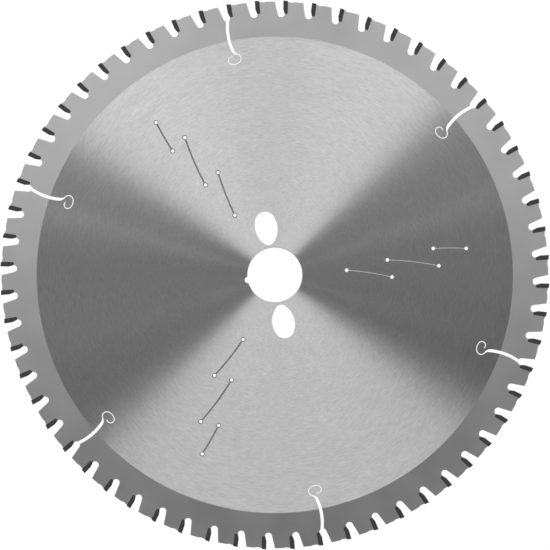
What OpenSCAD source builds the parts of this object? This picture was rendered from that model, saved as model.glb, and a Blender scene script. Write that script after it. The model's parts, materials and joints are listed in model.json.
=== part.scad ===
// Carbide-tipped circular saw blade: one ground steel plate with a brazed tip in each tooth.
// The blade lies flat, with its bore on Z, its mid-plane at Z = 0 and the cut running anticlockwise from above.

/* [Blade] */
// Diameter of the cutting circle
blade_d = 300; // [280:1:330]
// Number of teeth
teeth = 60; // [36, 48, 60, 72]
// Thickness of the steel plate
plate_t = 2.2; // [1.8:0.1:2.4]
// Height of the cutting circle above the steel rim
tip_rise = 0.75; // [0.5:0.05:1.2]
// Direction of the first tooth, anticlockwise from +X
first_tooth = 88.2; // [0:0.1:360]

/* [Gullet] */
// Radius of the gullet floor
gullet_r = 1.95; // [1.6:0.05:2.3]
// Depth of the gullet below the steel rim
gullet_depth = 8.45; // [7.8:0.05:9.5]
// Distance from the tip face forward to the middle of the gullet floor
gullet_lead = 1; // [0.8:0.05:1.2]
// Lean of the gullet's back wall from the radius
gullet_lean = 15; // [8:0.5:22]
// Slope of the ground dip behind the tip
relief_angle = 10.5; // [6:0.5:14]
// Length of the ground dip behind the tip
relief_l = 2.4; // [1.5:0.1:3]
// Length over which the dip runs out to the rim
relief_run = 1.3; // [0.8:0.1:2]

/* [Carbide tip] */
// Thickness of the tip, along the cut
tip_t = 2.5; // [2:0.1:3]
// Length of the tip, along the radius
tip_l = 7.3; // [6.5:0.1:8]
// Width of the cut
kerf = 3.2; // [3:0.1:4]
// Length of the tip face above its bevel
face_l = 4.6; // [3.8:0.1:5.5]
// Angle of the bevel below the tip face
bevel_angle = 18; // [10:0.5:22]
// Clearance angle of the tip's top
top_clearance = 7; // [4:0.5:12]
// Clearance angle of the tip's flanks towards the back
back_clearance = 2; // [1:0.25:3]
// Clearance angle of the tip's flanks towards the root
root_clearance = 0.75; // [0.25:0.25:1]
// Corner chamfer, on alternate sides of neighbouring tips
corner_chamfer = 0.4; // [0.2:0.05:0.8]
// Rounding of the tip's lower corners
heel_r = 0.6; // [0.3:0.05:0.6]
// Thickness of the braze behind and below the tip
braze_t = 0.1; // [0.05:0.01:0.2]

/* [Expansion slots] */
// Number of slots, evenly spaced
slots = 6; // [2, 3, 4, 6]
// Tooth whose gullet holds the first slot
slot_tooth = 8; // [0:1:9]
// Distance from the tip face forward to the slot's start
slot_lead = 0.3; // [0.1:0.05:0.6]
// Heading of the slot's start; 0 points to the blade's centre
slot_heading = -19; // [-24:0.5:-14]
// Width of the slot's stem
stem_w = 1.65; // [1:0.05:2]
// Radius of the stem
stem_r = 31; // [25:0.5:40]
// Turn of the stem
stem_turn = 34; // [28:0.5:38]
// Radius of the neck, where the slot narrows
neck_r = 3.65; // [3:0.05:5]
// Turn of the neck
neck_turn = 53; // [40:1:60]
// Width of the curl
curl_w = 0.5; // [0.3:0.05:0.8]
// Radius of the curl where it leaves the neck
curl_near_r = 2.5; // [2:0.1:3]
// Turn of the curl where it leaves the neck
curl_near_turn = 128; // [110:1:140]
// Radius along the floor of the curl
curl_floor_r = 5; // [4:0.1:6]
// Turn along the floor of the curl
curl_floor_turn = 56; // [40:1:65]
// Radius of the curl's hooked end
curl_end_r = 2; // [1.5:0.1:2.5]
// Turn of the curl's hooked end
curl_end_turn = 183; // [90:1:190]

/* [Damping cuts] */
// Number of groups, evenly spaced
cut_groups = 3; // [2:1:4]
// Radius from the blade's centre to the inner hole of each cut
cut_inner_r = [39.3, 62, 87.7]; // [38:0.1:110]
// Direction of the inner hole of each cut
cut_inner_angle = [3.8, 7.6, 9.5]; // [-12:0.1:12]
// Radius from the blade's centre to the outer hole of each cut
cut_outer_r = [64, 89.7, 105.5]; // [50:0.1:112]
// Direction of the outer hole of each cut
cut_outer_angle = [-1, 3.2, 7.9]; // [-12:0.1:12]
// Bow radius of the cuts
cut_bow_r = 150; // [60:1:300]
// Width of a cut
cut_w = 0.1; // [0.1:0.05:0.5]
// Diameter of the hole at each end of a cut
cut_hole_d = 1.9; // [1.5:0.1:3]
// Bevel along the edges of a cut and its holes
cut_bevel = 0.35; // [0.1:0.05:0.4]

/* [Bore and pin holes] */
// Diameter of the bore
bore_d = 30; // [20:0.1:31]
// Bevel on the edges of the bore
bore_bevel = 0.25; // [0.1:0.05:0.4]
// Radius of the round notch in the bore's wall
notch_r = 1.7; // [0.8:0.1:2]
// Direction of the notch
notch_angle = 190.5; // [150:0.5:220]
// Direction of the first pin hole; the second is opposite
pin_angle = 100.3; // [60:0.1:120]
// Distance from the blade's centre to the centre of the pin hole's outer end
pin_outer_at = 29.6; // [28:0.1:32]
// Radius of the pin hole's outer end
pin_outer_r = 5.4; // [5:0.1:5.8]
// Distance from the blade's centre to the centre of the pin hole's inner end
pin_inner_at = 20; // [19.5:0.1:22]
// Radius of the pin hole's inner end
pin_inner_r = 3.4; // [3:0.1:3.6]
// Radius of the pin hole's long sides
pin_side_r = 12.4; // [10:0.1:20]

/* [Hidden] */
$fn = 96;
pair_count = teeth / 2;
sector_count = 6;
sector_teeth = teeth / sector_count;
pitch = 360 / teeth;
tip_r = blade_d / 2;
body_r = tip_r - tip_rise;
tip_floor = tip_r - tip_l;
gullet_y = body_r - gullet_depth + gullet_r;
// Height that clears every tooth, for cuts that open through the rim
open_y = tip_r + tip_l;
// Height of a cut that passes right through the plate
through = 2 * plate_t;
// The wall enters the gullet's circle by this much, so that the two always cross
wall_bite = 0.01;
// Height of a curve above the straight lines that follow it
arc_sag = 0.015;

function numbered(stem, i) = str(stem, i < 10 ? "0" : "", i);
function pair_name(i) = numbered("tip_pair_", i);
function sector_name(i) = numbered("braze_sector_", i);

function side(h) = [cos(h), sin(h)];
function last(v) = v[len(v) - 1];
function reversed(v) = [for (i = [len(v) - 1:-1:0]) v[i]];
function steps(r, turn) = ceil(abs(turn) / (2 * acos(1 - arc_sag / r)));

// Points of an arc about c, from angle a to angle b
function arc(c, r, a, b) =
    let (n = steps(r, b - a))
    [for (i = [0:n]) c + r * side(a + (b - a) * i / n)];
// The same without its last point, where another arc goes on
function open_arc(c, r, a, b) =
    let (n = steps(r, b - a))
    [for (i = [0:n - 1]) c + r * side(a + (b - a) * i / n)];

// Local frame of a tooth: +Y out along the radius through its cutting edge, +X back along the tooth
module at_tooth(i) {
    rotate(first_tooth - i * pitch - 90) children();
}

// Round heel of a tip, or of a seat that keeps a gap to it
function heel(gap) = arc([tip_t - heel_r, tip_floor + heel_r], heel_r + gap, 0, -90);

// Seat of the tip, opened forward and out; a gap of 0 gives the tip's own back and floor
function seat_outline(gap) = concat(
    [[-gullet_lead, open_y], [tip_t + gap, open_y]],
    heel(gap),
    [[-gullet_lead, tip_floor - gap]]
);

// Gap between two teeth: a leaning back wall that runs into a round floor
module gullet_2d() {
    centre = [-gullet_lead, gullet_y];
    wall_foot = centre - (gullet_r - wall_bite) * side(gullet_lean);
    wall_top = wall_foot + (open_y - wall_foot.y) * [-tan(gullet_lean), 1];
    translate(centre) circle(gullet_r);
    polygon([wall_foot, wall_top, [0, open_y], [0, gullet_y], centre]);
}

// Dip ground into the rim behind the tip, so that the steel stays clear of the cut
module relief_2d() {
    start = [tip_t, sqrt(pow(body_r, 2) - pow(tip_t, 2))];
    low = start + relief_l * [1, -tan(relief_angle)];
    end_x = low.x + relief_run;
    end = [end_x, sqrt(pow(body_r, 2) - pow(end_x, 2))];
    beyond = end + (end - low);
    before = start - (low - start) / 2;
    polygon([[before.x, open_y], before, low, beyond, [beyond.x, open_y]]);
}

// Points of one bend of a slot's centre line, each [x, y, heading, width]
function bend(from, radius, turn, w_end) =
    let (
        r = radius * sign(turn),
        centre = [from.x, from.y] + r * side(from[2]),
        n = steps(radius, turn)
    )
    [for (i = [1:n])
        let (
            h = from[2] + turn * i / n,
            p = centre - r * side(h)
        )
        [p.x, p.y, h, from[3] + (w_end - from[3]) * i / n]
    ];

function slot_line() =
    let (
        start = [-slot_lead, gullet_y, slot_heading, stem_w],
        stem = bend(start, stem_r, stem_turn, stem_w),
        neck = bend(last(stem), neck_r, neck_turn, curl_w),
        near = bend(last(neck), curl_near_r, -curl_near_turn, curl_w),
        base = bend(last(near), curl_floor_r, -curl_floor_turn, curl_w),
        hook = bend(last(base), curl_end_r, -curl_end_turn, curl_w)
    )
    concat([start], stem, neck, near, base, hook);

// Expansion slot: a bowed stem from the gullet that narrows into a thin curl with a round end
module slot_2d() {
    line = slot_line();
    left = [for (p = line) [p.x, p.y] + p[3] / 2 * side(p[2])];
    right = [for (p = line) [p.x, p.y] - p[3] / 2 * side(p[2])];
    tail = last(line);
    cap = arc([tail.x, tail.y], curl_w / 2, tail[2], tail[2] - 180);
    inner_cap = [for (i = [1:len(cap) - 2]) cap[i]];
    polygon(concat(left, inner_cap, reversed(right)));
}

// Pin hole: two end arcs joined by two long side arcs that are tangent to both
module pin_hole_2d() {
    ends = pin_outer_at - pin_inner_at;
    lean = (pin_inner_r - pin_outer_r) * (2 * pin_side_r - pin_outer_r - pin_inner_r);
    side_y = (pow(pin_outer_at, 2) - pow(pin_inner_at, 2) - lean) / (2 * ends);
    side_x = sqrt(pow(pin_side_r - pin_outer_r, 2) - pow(pin_outer_at - side_y, 2));
    up = atan2(pin_outer_at - side_y, side_x);
    down = atan2(pin_inner_at - side_y, side_x);
    polygon(concat(
        open_arc([-side_x, side_y], pin_side_r, down, up),
        open_arc([0, pin_outer_at], pin_outer_r, up, 180 - up),
        open_arc([side_x, side_y], pin_side_r, 180 - up, 180 - down),
        open_arc([0, pin_inner_at], pin_inner_r, 180 - down, 360 + down)
    ));
}

// Side of a cut through the plate, at x from its middle, with both edges bevelled
function cut_side(x, bevel) =
    let (flare = bevel + (through - plate_t) / 2)
    [
        [x + flare, through / 2],
        [x, plate_t / 2 - bevel],
        [x, bevel - plate_t / 2],
        [x + flare, -through / 2]
    ];

module bevelled_hole(r, bevel) {
    rotate_extrude() polygon(concat(cut_side(r, bevel), [[0, -through / 2], [0, through / 2]]));
}

// Damping cut: a narrow bowed cut between two small holes, bevelled on both faces
module damping_cut(i) {
    inner = cut_inner_r[i] * side(cut_inner_angle[i]);
    outer = cut_outer_r[i] * side(cut_outer_angle[i]);
    chord = outer - inner;
    along = chord / norm(chord);
    bow = sqrt(pow(cut_bow_r, 2) - pow(norm(chord) / 2, 2));
    centre = (inner + outer) / 2 + bow * [along.y, -along.x];
    // The cut ends halfway between the wall and the axis of each hole
    inset = asin(cut_hole_d / 4 / cut_bow_r);
    start = atan2(outer.y - centre.y, outer.x - centre.x) + inset;
    sweep = 2 * asin(norm(chord) / 2 / cut_bow_r) - 2 * inset;
    right = cut_side(cut_w / 2, cut_bevel);
    left = [for (p = reversed(right)) [-p.x, p.y]];
    translate(inner) bevelled_hole(cut_hole_d / 2, cut_bevel);
    translate(outer) bevelled_hole(cut_hole_d / 2, cut_bevel);
    translate(centre) rotate(start) rotate_extrude(angle = sweep)
        translate([cut_bow_r, 0]) polygon(concat(right, left));
}

// Outline of the steel plate
module plate_2d() {
    difference() {
        circle(body_r);
        for (i = [0:teeth - 1]) at_tooth(i) {
            gullet_2d();
            polygon(seat_outline(braze_t));
            relief_2d();
        }
        for (i = [0:slots - 1]) at_tooth(slot_tooth + i * teeth / slots) slot_2d();
        for (turn = [0, 180]) rotate(pin_angle - 90 + turn) pin_hole_2d();
    }
}

// The ground steel plate with all its cuts
module blade_body() {
    color("darkgray") difference() {
        linear_extrude(plate_t, center = true) plate_2d();
        bevelled_hole(bore_d / 2, bore_bevel);
        rotate(notch_angle) translate([bore_d / 2, 0]) cylinder(r = notch_r, h = through, center = true);
        for (g = [0:cut_groups - 1]) rotate(g * 360 / cut_groups) {
            for (i = [0:len(cut_inner_r) - 1]) damping_cut(i);
        }
    }
}

// Outline of a tip: face, top, back and rounded heel and toe, with a bevel below the face
module tip_2d() {
    toe_l = tip_l - face_l;
    toe_x = (heel_r + (toe_l - heel_r) * sin(bevel_angle)) / cos(bevel_angle);
    polygon(concat(
        [[0, tip_r], [tip_t, tip_r - tip_t * tan(top_clearance)]],
        heel(0),
        arc([toe_x, tip_floor + heel_r], heel_r, -90, bevel_angle - 180),
        [[0, tip_r - face_l]]
    ));
}

// Everything above a plane through the cutting corner, which leans back and down to the root
module above_flank() {
    size = 4 * tip_l;
    translate([0, tip_r, kerf / 2]) rotate([root_clearance, back_clearance, 0])
        translate([-size / 2, -size / 2, 0]) cube(size);
}

// Everything outside the corner chamfer, which leans back with the tip's top
module outside_chamfer() {
    size = 4 * tip_l;
    translate([0, tip_r, kerf / 2 - corner_chamfer]) rotate(-top_clearance) rotate([-45, 0, 0])
        translate([-size / 2, -size / 2, 0]) cube(size);
}

// One carbide tip, with its corner chamfer on the upper side
module tip() {
    difference() {
        linear_extrude(2 * kerf, center = true) tip_2d();
        above_flank();
        mirror([0, 0, 1]) above_flank();
        outside_chamfer();
    }
}

// Two neighbouring tips, chamfered on opposite corners
module tip_pair(i) {
    color("dimgray") {
        at_tooth(2 * i - 2) tip();
        at_tooth(2 * i - 1) mirror([0, 0, 1]) tip();
    }
}

// The braze that fills a seat behind and below its tip
module braze() {
    linear_extrude(plate_t, center = true) difference() {
        polygon(seat_outline(braze_t));
        polygon(seat_outline(0));
        gullet_2d();
        relief_2d();
    }
}

module braze_sector(i) {
    color("goldenrod") for (k = [0:sector_teeth - 1]) at_tooth((i - 1) * sector_teeth + k) braze();
}

blade_body();
for (i = [1:pair_count]) {
    tip_pair(i);
}
for (i = [1:sector_count]) {
    braze_sector(i);
}
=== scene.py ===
import json
import math

import bpy
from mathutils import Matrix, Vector


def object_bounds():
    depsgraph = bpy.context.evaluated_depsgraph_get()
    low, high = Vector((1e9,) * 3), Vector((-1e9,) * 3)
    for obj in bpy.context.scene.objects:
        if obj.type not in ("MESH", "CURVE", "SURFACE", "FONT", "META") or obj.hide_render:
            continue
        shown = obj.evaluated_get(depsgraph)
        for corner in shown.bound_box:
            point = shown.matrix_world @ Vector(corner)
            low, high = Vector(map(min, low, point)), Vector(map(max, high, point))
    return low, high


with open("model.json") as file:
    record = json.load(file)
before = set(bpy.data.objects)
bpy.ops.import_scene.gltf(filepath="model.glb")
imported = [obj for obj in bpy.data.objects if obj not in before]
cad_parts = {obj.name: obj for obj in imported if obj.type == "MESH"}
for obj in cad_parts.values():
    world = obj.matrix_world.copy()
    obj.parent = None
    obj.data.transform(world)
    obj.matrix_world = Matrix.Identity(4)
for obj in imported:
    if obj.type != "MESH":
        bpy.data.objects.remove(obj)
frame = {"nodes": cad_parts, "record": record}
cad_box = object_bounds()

MM = 0.001
WHITE = (1.0, 1.0, 1.0, 1.0)
low, high = cad_box

# Radius where the ground disc ends and the matt rim begins, and half the width of that change
DISC_R = 130 * MM
DISC_BLUR = 0.15 * MM

# The damping cuts lie between these radii, clear of the pin holes and of the curled slots;
# their skin fades out within this blur
CUTS_FROM = 37 * MM
CUTS_TO = 110 * MM
CUTS_BLUR = 1 * MM

# Shade of the dark skin on the walls of the damping cuts, and the paler painted light on the right-hand
# ones, which are really alike, with half the width of the change between them, at the middle of the blade
DARK_SKIN = 0.02
RIGHT_CUTS_PAINTED_LIGHT = 0.37
SKIN_TO_PAINTED_LIGHT_BLUR = 5 * MM

# Warm cast of the silver solder
SOLDER_TINT = (1.0, 0.9, 0.66)

# The photograph's width in pixels, the radius and centre of the cutting circle in it, and its real radius
PICTURE_W = 550
BLADE_R_PX = 274.8
BLADE_CENTRE_PX = (274.85, 274.95)
BLADE_R = 150 * MM

# Height of the camera in metres, and the width of its sensor in millimetres
CAMERA_HEIGHT = 2.5
SENSOR_W = 36

# Light that comes evenly from all round
WORLD_FILL = 0.062

# Panels, in degrees and metres: the two on the far side share a direction, a reach and a distance,
# and meet at this elevation. The upper one and the panel on the near side end at the same elevation.
FAR_SIDE = -6
FAR_REACH = 51
FAR_DISTANCE = 0.6
FAR_SPLIT = 66
NEAR_SIDE = 177
PANELS_TOP = 76

# Strips: their distance from the bore, the height of their middle, their width and their length
STRIP_DISTANCE = 1.0
STRIP_HEIGHT = 0.45
STRIP_W = 0.03
STRIP_L = 0.6

# Floor: its width, the part of its white that no shadow takes away, the shade of the paint under that,
# and the shade of it that lights the blade
FLOOR_SIZE = 40
FLOOR_GLOW = 0.96
FLOOR_SEEN = 0.14
FLOOR_SHADE = 0.75


class Tree:
    """Short forms for building a node tree. Those that make one value return its output socket."""

    def __init__(self, owner):
        owner.use_nodes = True
        self.nodes = owner.node_tree.nodes
        self.links = owner.node_tree.links
        self.nodes.clear()

    def put(self, socket, value):
        """Links a socket to an output, or sets it to a plain value."""
        if isinstance(value, bpy.types.NodeSocket):
            self.links.new(value, socket)
        else:
            socket.default_value = value

    def put_all(self, node, values):
        """Fills the first sockets of a node, in their order."""
        for socket, value in zip(node.inputs, values):
            self.put(socket, value)

    def node(self, kind, settings=None, **inputs):
        """A new node with these settings and inputs."""
        made = self.nodes.new("ShaderNode" + kind)
        for name, value in (settings or {}).items():
            setattr(made, name, value)
        for name, value in inputs.items():
            self.put(made.inputs[name.replace("_", " ")], value)
        return made

    def math(self, operation, *values):
        """One operation on numbers."""
        made = self.node("Math", {"operation": operation})
        self.put_all(made, values)
        return made.outputs[0]

    def vector_math(self, operation, *values):
        """One operation on vectors; the length of one is a number."""
        made = self.node("VectorMath", {"operation": operation})
        self.put_all(made, values)
        return made.outputs["Value" if operation == "LENGTH" else "Vector"]

    def blend(self, *parts):
        """The sum of some values, each times its share."""
        total = 0.0
        for value, share in parts:
            total = self.math("MULTIPLY_ADD", value, share, total)
        return total

    def between(self, value, start, end, first, last):
        """A smooth step from first to last, as value goes from start to end."""
        made = self.node("MapRange", {"interpolation_type": "SMOOTHSTEP"}, Value=value)
        for name, number in (("From Min", start), ("From Max", end), ("To Min", first), ("To Max", last)):
            self.put(made.inputs[name], number)
        return made.outputs["Result"]

    def rise(self, value, start, end):
        """A smooth step up, from 0 to 1."""
        return self.between(value, start, end, 0.0, 1.0)

    def fall(self, value, start, end):
        """A smooth step down, from 1 to 0."""
        return self.between(value, start, end, 1.0, 0.0)

    def spread(self, value, middle, reach):
        """A noise value of 0 to 1, as a number around middle."""
        return self.math("MULTIPLY_ADD", value, 2 * reach, middle - reach)

    def mix(self, factor, first, second):
        """A number that goes from first to second."""
        return self.node("Mix", {"data_type": "FLOAT"}, Factor=factor, A=first, B=second).outputs[0]

    def noise(self, vector, scale, detail=2.0, roughness=0.5):
        """Noise of 0 to 1; scale says how many of its waves lie in one unit of the vector."""
        made = self.node("TexNoise", Vector=vector, Scale=scale, Detail=detail, Roughness=roughness)
        return made.outputs[0]

    def grey(self, value):
        """A grey of this brightness."""
        return self.node("CombineColor", Red=value, Green=value, Blue=value).outputs[0]

    def tinted(self, value, tint):
        """A colour of this brightness, with a slight tint."""
        made = self.node("CombineColor")
        self.put_all(made, [self.math("MULTIPLY", value, share) for share in tint])
        return made.outputs[0]

    def bump(self, height, strength, distance):
        """A normal that leans with the slope of height."""
        return self.node("Bump", Height=height, Strength=strength, Distance=distance).outputs[0]


def blade_coordinates(tree):
    """Position, its x, its distance from the bore's axis, and its direction from there."""
    place = tree.node("TexCoord").outputs["Object"]
    parts = tree.node("SeparateXYZ", Vector=place).outputs
    flat = tree.node("CombineXYZ", X=parts["X"], Y=parts["Y"]).outputs[0]
    radius = tree.vector_math("LENGTH", flat)
    way = tree.vector_math("NORMALIZE", flat)
    return place, parts["X"], radius, way


def arc_grain(tree, way, radius, turns, lines, detail):
    """
    Noise drawn out along circles. The streaks round a circle grow in number with turns,
    and lines says how many lie in a metre of radius.
    """
    across = tree.node("CombineXYZ", Z=tree.math("MULTIPLY", radius, lines)).outputs[0]
    drawn_out = tree.vector_math("MULTIPLY_ADD", way, (turns, turns, turns), across)
    return tree.noise(drawn_out, scale=1.0, detail=detail)


def disc_finish(tree, radius, way):
    """Ground faces: short arcs of a grinding stone, finer ones, and long faint patches."""
    arcs = arc_grain(tree, way, radius, turns=24.0, lines=1900.0, detail=3.0)
    fine = arc_grain(tree, way, radius, turns=60.0, lines=4200.0, detail=2.0)
    patches = arc_grain(tree, way, radius, turns=7.0, lines=170.0, detail=3.0)
    grain = tree.blend((arcs, 0.5), (fine, 0.38), (patches, 0.12))
    disc = tree.node(
        "BsdfPrincipled",
        Base_Color=tree.grey(tree.spread(grain, middle=0.62, reach=0.31)),
        Metallic=1.0,
        Roughness=tree.spread(grain, middle=0.30, reach=0.03),
        Anisotropic=1.0,
        Anisotropic_Rotation=0.25,
        Tangent=tree.node("Tangent", {"direction_type": "RADIAL", "axis": "Z"}).outputs[0],
        Normal=tree.bump(grain, strength=0.25, distance=0.012 * MM),
    )
    return disc.outputs[0]


def rim_finish(tree, place, x, radius, upright):
    """Matt rim with fine specks, walls with streaks through the plate, and the skin in the damping cuts,
    painted paler on the right-hand ones as painted light.
    """
    specks = tree.noise(place, scale=3500.0, detail=3.0, roughness=0.6)
    clouds = tree.noise(place, scale=45.0)
    mottle = tree.blend((specks, 0.5), (clouds, 0.5))
    waves_per_metre = (5200.0, 5200.0, 160.0)
    streaks = tree.noise(tree.vector_math("MULTIPLY", place, waves_per_metre), scale=1.0)
    wall = tree.fall(upright, start=0.4, end=0.6)
    texture = tree.mix(wall, mottle, streaks)

    # The hot cut leaves a dark skin on the walls and bevels of the damping cuts; the right-hand cuts are
    # painted paler, as painted light
    beyond_holes = tree.rise(radius, start=CUTS_FROM - CUTS_BLUR, end=CUTS_FROM)
    before_slots = tree.fall(radius, start=CUTS_TO, end=CUTS_TO + CUTS_BLUR)
    off_face = tree.fall(upright, start=0.9, end=0.97)
    skin = tree.math("MULTIPLY", tree.math("MULTIPLY", beyond_holes, before_slots), off_face)
    # Dark skin left of the blade's middle, and a paler painted light right of it
    skin_and_painted_light_shade = tree.between(x, -SKIN_TO_PAINTED_LIGHT_BLUR, SKIN_TO_PAINTED_LIGHT_BLUR, first=DARK_SKIN, last=RIGHT_CUTS_PAINTED_LIGHT)
    steel_shade = tree.spread(texture, middle=0.555, reach=0.07)

    rim = tree.node(
        "BsdfPrincipled",
        Base_Color=tree.grey(tree.mix(skin, steel_shade, skin_and_painted_light_shade)),
        Metallic=tree.math("SUBTRACT", 1.0, skin),
        Roughness=tree.spread(texture, middle=0.31, reach=0.06),
        Specular_IOR_Level=0.35,
        Normal=tree.bump(texture, strength=0.2, distance=0.006 * MM),
    )
    return rim.outputs[0]


def ground_steel():
    """Circular-ground disc, matt rim, and plain cut walls, all of the same steel."""
    material = bpy.data.materials.new("ground_steel")
    tree = Tree(material)
    place, x, radius, way = blade_coordinates(tree)

    # 1 on the faces of the plate, and 0 on its walls
    normal = tree.node("TexCoord").outputs["Normal"]
    upright = tree.math("ABSOLUTE", tree.node("SeparateXYZ", Vector=normal).outputs["Z"])

    on_face = tree.rise(upright, start=0.95, end=0.99)
    inside = tree.fall(radius, start=DISC_R - DISC_BLUR, end=DISC_R + DISC_BLUR)
    rim = rim_finish(tree, place, x, radius, upright)
    disc = disc_finish(tree, radius, way)
    both = tree.node("MixShader")
    tree.put_all(both, (tree.math("MULTIPLY", on_face, inside), rim, disc))
    tree.node("OutputMaterial", Surface=both.outputs[0])
    return material


def carbide():
    """Dark sintered carbide with a fine ground grain."""
    material = bpy.data.materials.new("carbide")
    tree = Tree(material)
    place = tree.node("TexCoord").outputs["Object"]
    specks = tree.noise(place, scale=9000.0, detail=3.0, roughness=0.65)
    clouds = tree.noise(place, scale=700.0)
    texture = tree.blend((specks, 0.6), (clouds, 0.4))
    tip = tree.node(
        "BsdfPrincipled",
        Base_Color=tree.grey(tree.spread(texture, middle=0.051, reach=0.018)),
        Metallic=0.1,
        Roughness=tree.spread(texture, middle=0.5, reach=0.1),
        Specular_IOR_Level=0.3,
        Normal=tree.bump(texture, strength=0.15, distance=0.004 * MM),
    )
    tree.node("OutputMaterial", Surface=tip.outputs[0])
    return material


def braze():
    """Silver solder with a warm cast and soft waves."""
    material = bpy.data.materials.new("braze")
    tree = Tree(material)
    place = tree.node("TexCoord").outputs["Object"]
    waves = tree.noise(place, scale=1800.0, detail=3.0)
    solder = tree.node(
        "BsdfPrincipled",
        Base_Color=tree.tinted(tree.spread(waves, middle=0.55, reach=0.12), SOLDER_TINT),
        Metallic=1.0,
        Roughness=tree.spread(waves, middle=0.36, reach=0.1),
        Normal=tree.bump(waves, strength=0.3, distance=0.01 * MM),
    )
    tree.node("OutputMaterial", Surface=solder.outputs[0])
    return material


def dress():
    """Gives each node the material of its slot."""
    made = {"ground_steel": ground_steel(), "carbide": carbide(), "braze": braze()}
    for part in frame["record"]["subparts"]:
        node = frame["nodes"][part["node"]]
        node.data.materials.clear()
        node.data.materials.append(made[part["material_slot"]])


def floor_paint():
    """Pale floor that reads white, also in the metal's reflections, and keeps a faint shadow."""
    material = bpy.data.materials.new("floor_paint")
    tree = Tree(material)
    path = tree.node("LightPath").outputs
    seen = tree.math("MAXIMUM", path["Is Camera Ray"], path["Is Glossy Ray"])
    seen = tree.math("MAXIMUM", seen, path["Is Transmission Ray"])
    glow = tree.node("Emission", Color=WHITE, Strength=tree.math("MULTIPLY", seen, FLOOR_GLOW))
    paint = tree.node("BsdfDiffuse", Color=tree.grey(tree.mix(seen, FLOOR_SHADE, FLOOR_SEEN)))
    both = tree.node("AddShader")
    tree.put_all(both, (glow.outputs[0], paint.outputs[0]))
    tree.node("OutputMaterial", Surface=both.outputs[0])
    return material


def floor():
    """Wide floor that the blade lies on."""
    bpy.ops.mesh.primitive_plane_add(size=FLOOR_SIZE, location=(0, 0, low.z))
    plane = bpy.context.object
    plane.name = "floor"
    plane.data.materials.append(floor_paint())


def camera():
    """Straight above, with a long lens, framed as the photograph is."""
    data = bpy.data.cameras.new("camera")
    data.sensor_width = SENSOR_W
    metres_per_px = BLADE_R / BLADE_R_PX
    data.lens = SENSOR_W * (CAMERA_HEIGHT - high.z) / (PICTURE_W * metres_per_px)
    eye = bpy.data.objects.new("camera", data)
    off_x = PICTURE_W / 2 - BLADE_CENTRE_PX[0]
    off_y = BLADE_CENTRE_PX[1] - PICTURE_W / 2
    eye.location = (off_x * metres_per_px, off_y * metres_per_px, CAMERA_HEIGHT)
    bpy.context.scene.collection.objects.link(eye)
    bpy.context.scene.camera = eye


def studio_world():
    """Even dim fill all round."""
    world = bpy.data.worlds.new("studio")
    bpy.context.scene.world = world
    tree = Tree(world)
    fill = tree.node("Background", Color=WHITE, Strength=WORLD_FILL)
    tree.node("OutputWorld", Surface=fill.outputs[0])


def softbox(name, direction, distance, height, width, tall, shine, down=False):
    """
    Soft box at this direction, in degrees clockwise from +Y; it faces the blade's axis, or straight down.
    A mirror shows it as bright as shine, where 1 is white.
    """
    data = bpy.data.lights.new(name, "AREA")
    data.shape = "RECTANGLE"
    data.size = width
    data.size_y = tall
    data.energy = shine * math.pi * width * tall
    lamp = bpy.data.objects.new(name, data)
    angle = math.radians(direction)
    out = Vector((math.sin(angle), math.cos(angle), 0))
    lamp.location = distance * out + Vector((0, 0, height))
    facing = Vector((0, 0, -1)) if down else -out
    lamp.rotation_euler = facing.to_track_quat("-Z", "Y").to_euler()
    lamp.visible_camera = False
    bpy.context.scene.collection.objects.link(lamp)


def panel(name, direction, reach, distance, foot, top, shine):
    """
    Wall of light that stands this far from the bore and faces it. Seen from there, in degrees,
    it spans its reach to either side of its direction, and the elevations from foot to top.
    """
    across, low_edge, high_edge = (distance * math.tan(math.radians(a)) for a in (reach, foot, top))
    height = (low_edge + high_edge) / 2
    softbox(name, direction, distance, height, 2 * across, high_edge - low_edge, shine)


def hanging_box(name, direction, distance, height, side, shine):
    """Square soft box over the blade that faces straight down."""
    softbox(name, direction, distance, height, side, side, shine, down=True)


def strip(name, direction, shine):
    """Narrow upright soft box that faces the blade's axis."""
    softbox(name, direction, STRIP_DISTANCE, STRIP_HEIGHT, STRIP_W, STRIP_L, shine)


def lamps():
    """Panels on the far and near sides, boxes over the left and right, and a strip on either side."""
    panel("far_low_panel", FAR_SIDE, FAR_REACH, FAR_DISTANCE, foot=38, top=FAR_SPLIT, shine=1.5)
    panel("far_high_panel", FAR_SIDE, FAR_REACH, FAR_DISTANCE, foot=FAR_SPLIT, top=PANELS_TOP, shine=2.5)
    panel("near_panel", NEAR_SIDE, reach=49, distance=2.5, foot=15, top=PANELS_TOP, shine=1.07)
    hanging_box("left_box", direction=-70, distance=0.2, height=0.5, side=0.3, shine=0.29)
    hanging_box("left_small_box", direction=-50, distance=0.15, height=0.3, side=0.15, shine=0.2)
    hanging_box("right_box", direction=60, distance=0.22, height=0.7, side=0.3, shine=0.39)
    hanging_box("right_small_box", direction=44, distance=0.2, height=0.4, side=0.2, shine=0.14)
    strip("left_strip", direction=-74, shine=7.0)
    strip("right_strip", direction=70, shine=4.5)


dress()
floor()
camera()
studio_world()
lamps()

bpy.context.scene.view_settings.view_transform = "Standard"
